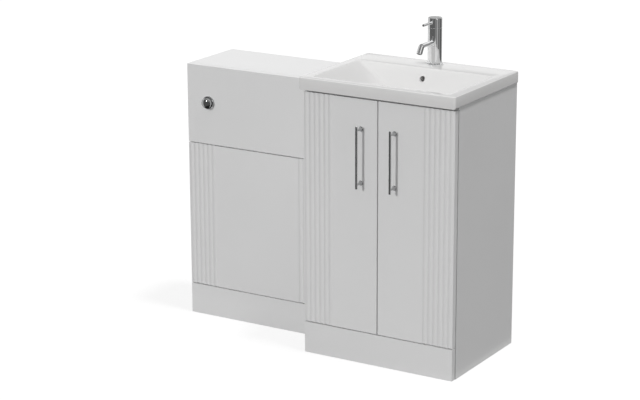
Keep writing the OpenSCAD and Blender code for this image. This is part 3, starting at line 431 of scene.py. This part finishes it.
def bowl_rings():
    """The rolled edge, the four sloping walls and the floor of the bowl."""
    top = BASIN["top"]
    floor = top - BOWL_DEPTH
    turn = {s: math.atan2(BOWL_DEPTH, abs(BOWL_LOW[s] - BOWL_TOP[s])) for s in SIDES}
    rings = []
    edge_roll = 4 * MM
    for i in range(ROLL_STEPS + 1):
        t = i / ROLL_STEPS
        by = {s: edge_roll * (math.sin(turn[s] * t) - math.tan(turn[s] / 2)) for s in SIDES}
        height = {s: top - edge_roll * (1 - math.cos(turn[s] * t)) for s in SIDES}
        rings.append(ring(inset(BOWL_TOP, by), BOWL_CORNER, height))
    floor_roll = 16 * MM
    widening = 4 * MM
    for i in range(FLOOR_STEPS + 1):
        t = 1 - i / FLOOR_STEPS
        by = {s: floor_roll * (math.tan(turn[s] / 2) - math.sin(turn[s] * t)) for s in SIDES}
        height = {s: floor + floor_roll * (1 - math.cos(turn[s] * t)) for s in SIDES}
        rings.append(ring(inset(BOWL_LOW, by), BOWL_CORNER + widening * (1 - t), height))
    return rings


def bar_along_x(name, side, low, high):
    """A closed prism with the outline side, given as (y, z) points, from x = low to x = high."""
    mesh = bmesh.new()
    ends = [[mesh.verts.new((x, y, z)) for y, z in side] for x in (low, high)]
    mesh.faces.new(ends[0])
    mesh.faces.new(list(reversed(ends[1])))
    count = len(side)
    for i in range(count):
        j = (i + 1) % count
        mesh.faces.new((ends[0][i], ends[1][i], ends[1][j], ends[0][j]))
    bmesh.ops.recalc_face_normals(mesh, faces=mesh.faces)
    return finished(mesh, name)


def wall_out(z):
    """The bowl's outer face at the back, at height z."""
    run = BOWL_TOP["back"] - BOWL_LOW["back"]
    share = (BASIN["top"] - z) / (BOWL_DEPTH + BOWL_WALL)
    return BOWL_TOP["back"] + BOWL_WALL - run * share


def passage(name, half, near, far, low, top, front, roof):
    """Way of the overflow's water behind and under the bowl."""
    side = [
        (wall_out(top) + near, top),
        (wall_out(top) + far, top),
        (wall_out(low) + far, low),
        (front, low),
        (front, roof),
        (wall_out(roof) + near, roof),
    ]
    return bar_along_x(name, side, MID_X - half, MID_X + half)


def combine(obj, others, operation):
    """Unites the others with the object, or takes them out of it, and deletes them."""
    for other in others:
        modifier = obj.modifiers.new("combine", "BOOLEAN")
        modifier.operation = operation
        modifier.solver = "EXACT"
        modifier.object = other
        apply_modifiers(obj)
        bpy.data.objects.remove(other)


def upright(name, radius, y, low, high):
    """A closed cylinder that stands on the vanity's middle plane."""
    return cylinder(name, radius, (MID_X, y, low), (MID_X, y, high))


def make_basin():
    """Shell with the waste's boss, the overflow's passage, and the holes of tap and waste."""
    obj = loft(outside_rings() + bowl_rings(), "basin_shell")
    boss = upright("boss", radius=35.45 * MM, y=WASTE_Y, low=709 * MM, high=740 * MM)
    outer = passage(
        "outer", half=14 * MM, near=-4 * MM, far=17 * MM, low=714 * MM, top=830 * MM,
        front=-215.6 * MM, roof=740 * MM,
    )
    combine(obj, [boss, outer], "UNION")
    inner = passage(
        "inner", half=10 * MM, near=0.6 * MM, far=13 * MM, low=718 * MM, top=822 * MM,
        front=-224.5 * MM, roof=728 * MM,
    )
    tap_hole = upright("tap_hole", radius=17.5 * MM, y=TAP_Y, low=800 * MM, high=860 * MM)
    overflow_z = 811 * MM
    overflow = cylinder(
        "overflow_hole", radius=8.5 * MM,
        low=(MID_X, -135 * MM, overflow_z), high=(MID_X, -103.5 * MM, overflow_z),
    )
    waste = upright("waste_hole", radius=22.45 * MM, y=WASTE_Y, low=700 * MM, high=760 * MM)
    combine(obj, [inner, tap_hole, overflow, waste], "DIFFERENCE")
    smooth_edges(obj)
    obj.data.materials.append(GLAZED)
    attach(obj, "unit")
    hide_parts("basin")
    return obj


basin_shell = make_basin()


# ---------------------------------------------------------------- finer pieces


def turned(name, profile, place, steps=48):
    """A closed solid of revolution about the place's Z axis, from (radius, height) points."""
    mesh = bmesh.new()
    rows = []
    for k in range(steps):
        a = 2 * math.pi * k / steps
        rows.append([
            mesh.verts.new(place @ Vector((r * math.cos(a), r * math.sin(a), z)))
            for r, z in profile
        ])
    count = len(profile)
    for k in range(steps):
        here, there = rows[k], rows[(k + 1) % steps]
        for i in range(count):
            j = (i + 1) % count
            mesh.faces.new((here[i], there[i], there[j], here[j]))
    bmesh.ops.recalc_face_normals(mesh, faces=mesh.faces)
    return finished(mesh, name)


def add_piece(obj, finish, body):
    """Finishes a piece and says what it rides on and which material slot it belongs to."""
    smooth_edges(obj)
    obj.data.materials.append(finish)
    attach(obj, body)


def make_joint_ring():
    """Bright bead on the tap's body, just under its cap."""
    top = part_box("tap_body")[1][2]
    radius = nodes["tap_cap"].dimensions.x / 2
    hole = radius - 2.5 * MM
    bead = 0.31 * MM
    thick = 1.6 * bead
    sunk = 0.1 * MM
    profile = [(hole, 0), (radius, 0), (radius, bead), (radius - bead, thick), (hole, thick)]
    place = Matrix.Translation((MID_X, TAP_Y, top - sunk))
    add_piece(turned("tap_joint_ring", profile, place), JOINT_CHROME, "unit")


HANDLE_CENTRES = 160 * MM
# radius and height of a foot's outline, whose hole clears the handle's post
FOOT_PROFILE = (
    (3.02 * MM, 0),
    (7.5 * MM, 0),
    (7.5 * MM, 1.2 * MM),
    (5.2 * MM, 4 * MM),
    (3.9 * MM, 9 * MM),
    (3.02 * MM, 14 * MM),
)


def make_handle_feet():
    """Flared feet where the handles' posts meet the doors."""
    for side in ("left", "right"):
        low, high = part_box(f"{side}_handle")
        x = (low[0] + high[0]) / 2
        middle = (low[2] + high[2]) / 2
        for end, sign in (("low", -1), ("high", 1)):
            z = middle + sign * HANDLE_CENTRES / 2
            place = Matrix.Translation((x, high[1], z)) @ Matrix.Rotation(math.pi / 2, 4, "X")
            foot = turned(f"{side}_handle_foot_{end}", FOOT_PROFILE, place, 32)
            add_piece(foot, SATIN, f"{side}_door")


def screw(name, point, turn, radius, height, body):
    """Pan head with a pit for the driver, standing on the point."""
    centre = 0.01 * MM
    pit = 0.35 * height
    profile = [
        (centre, 0), (radius, 0), (radius, 0.5 * height), (0.75 * radius, height),
        (0.38 * radius, height), (0.3 * radius, pit), (centre, pit),
    ]
    place = Matrix.Translation(Vector(point)) @ turn
    add_piece(turned(name, profile, place, 24), STEEL, body)


HINGE_END = 110 * MM
CUP_SCREW_SIDE = 23 * MM
CUP_FLANGE = 1.2 * MM
PLATE_SCREW_SIDE = 20 * MM
PLATE_X = 20.5 * MM
PLATE_DEPTH = 37 * MM
ARM_X = 36 * MM


def hinge_screws(side, end, hinge_z, cup_x, inner):
    """The six screws of one hinge: cup, mounting plate and arm."""
    sign = 1 if side == "left" else -1
    across = Matrix.Rotation(sign * math.pi / 2, 4, "Y")
    to_room = Matrix.Rotation(-math.pi / 2, 4, "X")
    cup = (to_room, 3.4 * MM, 1.8 * MM, f"{side}_door")
    plate = (across, 3.5 * MM, 2.0 * MM, "unit")
    spots = (
        # name, distance from the vanity's side, depth, height, then turn, radius, head and body
        ("cup_a", cup_x, CUP_FLANGE, -CUP_SCREW_SIDE, cup),
        ("cup_b", cup_x, CUP_FLANGE, CUP_SCREW_SIDE, cup),
        ("plate_a", PLATE_X, PLATE_DEPTH, -PLATE_SCREW_SIDE, plate),
        ("plate_b", PLATE_X, PLATE_DEPTH, PLATE_SCREW_SIDE, plate),
        ("arm_a", ARM_X, 25 * MM, 0, (across, 3.0 * MM, 0.8 * MM, "unit")),
        ("arm_b", ARM_X, 50 * MM, 0, (across, 3.4 * MM, 0.8 * MM, "unit")),
    )
    for what, from_side, depth, up, head in spots:
        x = from_side if side == "left" else VANITY_W - from_side
        screw(f"{side}_{end}_{what}_screw", (x, inner + depth, hinge_z + up), *head)


def make_hinge_screws():
    """Screws of the four hinges, on both doors."""
    door_low, door_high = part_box("left_door")
    cups_low, cups_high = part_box("left_hinge_cups")
    cup_x = (cups_low[0] + cups_high[0]) / 2
    inner = door_high[1]
    hinges = (("low", door_low[2] + HINGE_END), ("high", door_high[2] - HINGE_END))
    for end, hinge_z in hinges:
        for side in ("left", "right"):
            hinge_screws(side, end, hinge_z, cup_x, inner)


make_hinge_screws()
make_joint_ring()
make_handle_feet()


# ---------------------------------------------------------------- stage, lights and camera


WHITE = (1, 1, 1, 1)
FLOOR_SIZE = 40
FLOOR_Z = -0.5 * MM
FLOOR_GREY = (0.3, 0.3, 0.3, 1)
FLOOR_SEEN_GREY = (0.25, 0.25, 0.25, 1)
FLOOR_GLOW = 0.80


def plane(name, size, centre):
    """A level square of the stage, centred on the point."""
    mesh = bmesh.new()
    bmesh.ops.create_grid(mesh, x_segments=1, y_segments=1, size=size / 2)
    obj = finished(mesh, name)
    obj.location = centre
    return obj


def seen_colour(tree, usual, to_eye):
    """Mixes what lights the object with what the eye, metal and glass see."""
    path = tree.nodes.new("ShaderNodeLightPath")
    eye = tree.nodes.new("ShaderNodeMath")
    eye.operation = "MAXIMUM"
    tree.links.new(path.outputs["Is Camera Ray"], eye.inputs[0])
    both = tree.nodes.new("ShaderNodeMath")
    both.operation = "MAXIMUM"
    tree.links.new(path.outputs["Is Glossy Ray"], both.inputs[0])
    tree.links.new(path.outputs["Is Transmission Ray"], both.inputs[1])
    tree.links.new(both.outputs[0], eye.inputs[1])
    mix = tree.nodes.new("ShaderNodeMixShader")
    tree.links.new(eye.outputs[0], mix.inputs["Fac"])
    tree.links.new(usual, mix.inputs[1])
    tree.links.new(to_eye, mix.inputs[2])
    return mix.outputs[0]


def make_world(level_of_light):
    """Even light from all round, seen as plain white."""
    world = bpy.data.worlds.new("studio")
    world.use_nodes = True
    scene.world = world
    tree = world.node_tree
    tree.nodes.clear()
    usual = tree.nodes.new("ShaderNodeBackground")
    usual.inputs["Color"].default_value = WHITE
    usual.inputs["Strength"].default_value = level_of_light
    white = tree.nodes.new("ShaderNodeBackground")
    white.inputs["Color"].default_value = WHITE
    white.inputs["Strength"].default_value = 1.0
    out = tree.nodes.new("ShaderNodeOutputWorld")
    seen = seen_colour(tree, usual.outputs[0], white.outputs[0])
    tree.links.new(seen, out.inputs["Surface"])


def make_floor():
    """Floor that throws back some light, shows white and keeps the object's shadow."""
    floor = plane("floor", FLOOR_SIZE, (0, 0, FLOOR_Z))
    material = bpy.data.materials.new("floor")
    material.use_nodes = True
    tree = material.node_tree
    tree.nodes.clear()
    dull = tree.nodes.new("ShaderNodeBsdfDiffuse")
    dull.inputs["Color"].default_value = FLOOR_GREY
    matte = tree.nodes.new("ShaderNodeBsdfDiffuse")
    matte.inputs["Color"].default_value = FLOOR_SEEN_GREY
    glow = tree.nodes.new("ShaderNodeEmission")
    glow.inputs["Strength"].default_value = FLOOR_GLOW
    both = tree.nodes.new("ShaderNodeAddShader")
    tree.links.new(matte.outputs[0], both.inputs[0])
    tree.links.new(glow.outputs[0], both.inputs[1])
    out = tree.nodes.new("ShaderNodeOutputMaterial")
    seen = seen_colour(tree, dull.outputs[0], both.outputs[0])
    tree.links.new(seen, out.inputs["Surface"])
    floor.data.materials.append(material)


def linked_pieces(name, pieces, state):
    """Collection that says how a lamp treats these pieces."""
    group = bpy.data.collections.new(name)
    for piece in pieces:
        group.objects.link(piece)
    for entry in group.collection_objects:
        entry.light_linking.link_state = state
    return group


def make_sun(name, towards, strength, softness, passes=(), only=()):
    """A far lamp; pieces in passes throw no shadow, and it lights only those in only."""
    data = bpy.data.lights.new(name, "SUN")
    data.energy = strength
    data.angle = math.radians(softness)
    obj = bpy.data.objects.new(name, data)
    obj.rotation_mode = "QUATERNION"
    obj.rotation_quaternion = Vector(towards).to_track_quat("-Z", "Y")
    scene.collection.objects.link(obj)
    if passes:
        clear = linked_pieces(name + "_clear", passes, "EXCLUDE")
        obj.light_linking.blocker_collection = clear
    if only:
        lit = linked_pieces(name + "_lit", only, "INCLUDE")
        obj.light_linking.receiver_collection = lit


TAP = "tap_body tap_spout tap_aerator tap_cap tap_lever".split()
CARD_DISTANCE = 1.5
CARD_STEPS = 8
CARDS = (
    # start and end azimuth in degrees, bottom and top, and how bright the card is
    (-155, -62, 0.02, 1.08, 0.11),
    (-155, -62, 1.08, 1.60, 0.33),
    (-62, -28, 0.02, 1.30, 0.20),
    (-28, -12, 0.02, 1.60, 0.38),
    (-12, 8, 0.02, 1.60, 0.14),
    (8, 30, 0.02, 1.60, 0.22),
    (30, 55, 0.02, 2.00, 0.065),
    (55, 95, 0.02, 1.45, 0.27),
    (55, 95, 1.45, 2.20, 0.75),
    (95, 205, 0.02, 0.98, 0.58),
    (95, 205, 1.245, 2.20, 0.43),
)
# two on the floor and one overhead
LEVEL_CARDS = (
    # two corners, height and brightness
    ((-1.3, -1.6), (1.8, -0.42), -0.0002, 0.02),
    ((0.52, -0.42), (1.8, 1.5), -0.0002, 0.15),
    ((-1.2, -1.5), (1.7, 1.4), 2.30, 0.22),
)


def card(name, faces, bright):
    """A glowing sheet that only polished metal and gloss see."""
    mesh = bmesh.new()
    for corners in faces:
        mesh.faces.new([mesh.verts.new(corner) for corner in corners])
    obj = finished(mesh, name)
    material = bpy.data.materials.new(name)
    material.use_nodes = True
    tree = material.node_tree
    tree.nodes.clear()
    glow = tree.nodes.new("ShaderNodeEmission")
    glow.inputs["Strength"].default_value = bright
    out = tree.nodes.new("ShaderNodeOutputMaterial")
    tree.links.new(glow.outputs[0], out.inputs["Surface"])
    obj.data.materials.append(material)
    obj.visible_camera = False
    obj.visible_diffuse = False
    obj.visible_shadow = False
    obj.visible_transmission = False


def make_cards():
    """The darker room that the metal mirrors: bowed cards round the tap, and level ones."""
    for i, (start, end, low, high, bright) in enumerate(CARDS):
        line = []
        for k in range(CARD_STEPS + 1):
            a = math.radians(start + (end - start) * k / CARD_STEPS)
            x = MID_X + CARD_DISTANCE * math.cos(a)
            y = TAP_Y + CARD_DISTANCE * math.sin(a)
            line.append((x, y))
        faces = [
            ((*a, low), (*b, low), (*b, high), (*a, high)) for a, b in zip(line, line[1:])
        ]
        card(f"card_{i}", faces, bright)
    for i, ((x0, y0), (x1, y1), z, bright) in enumerate(LEVEL_CARDS):
        corners = ((x0, y0, z), (x1, y0, z), (x1, y1, z), (x0, y1, z))
        card(f"level_{i}", [corners], bright)


FRAME_WIDTH = 640
FOCAL_PIXELS = 2070
SENSOR_WIDTH = 36
CAMERA_PLACE = (3.088, -5.331, 2.135)
CAMERA_TILT = 15.93
CAMERA_TURN = 30.62
CAMERA_SHIFT = -0.0469
CAMERA_REACH = 60


def make_camera():
    """Camera that looks down by the tilt and to the left by the turn, both in degrees."""
    data = bpy.data.cameras.new("camera")
    data.sensor_width = SENSOR_WIDTH
    data.lens = FOCAL_PIXELS / FRAME_WIDTH * SENSOR_WIDTH
    data.shift_x = CAMERA_SHIFT
    data.clip_end = CAMERA_REACH
    obj = bpy.data.objects.new("camera", data)
    obj.location = CAMERA_PLACE
    obj.rotation_euler = (math.radians(90 - CAMERA_TILT), 0, math.radians(CAMERA_TURN))
    scene.collection.objects.link(obj)
    scene.camera = obj


scene.view_settings.view_transform = "Standard"
make_world(0.40)
make_floor()
make_sun("front", (0.276, 0.910, -0.309), strength=1.15, softness=5)
make_sun(
    "right", (-0.31, 0.0, -0.951), strength=1.58, softness=10,
    passes=[nodes[name] for name in TAP],
)
make_sun("rim", (-0.82, 0.57, -0.02), strength=0.43, softness=5, only=[basin_shell])
make_cards()
make_camera()
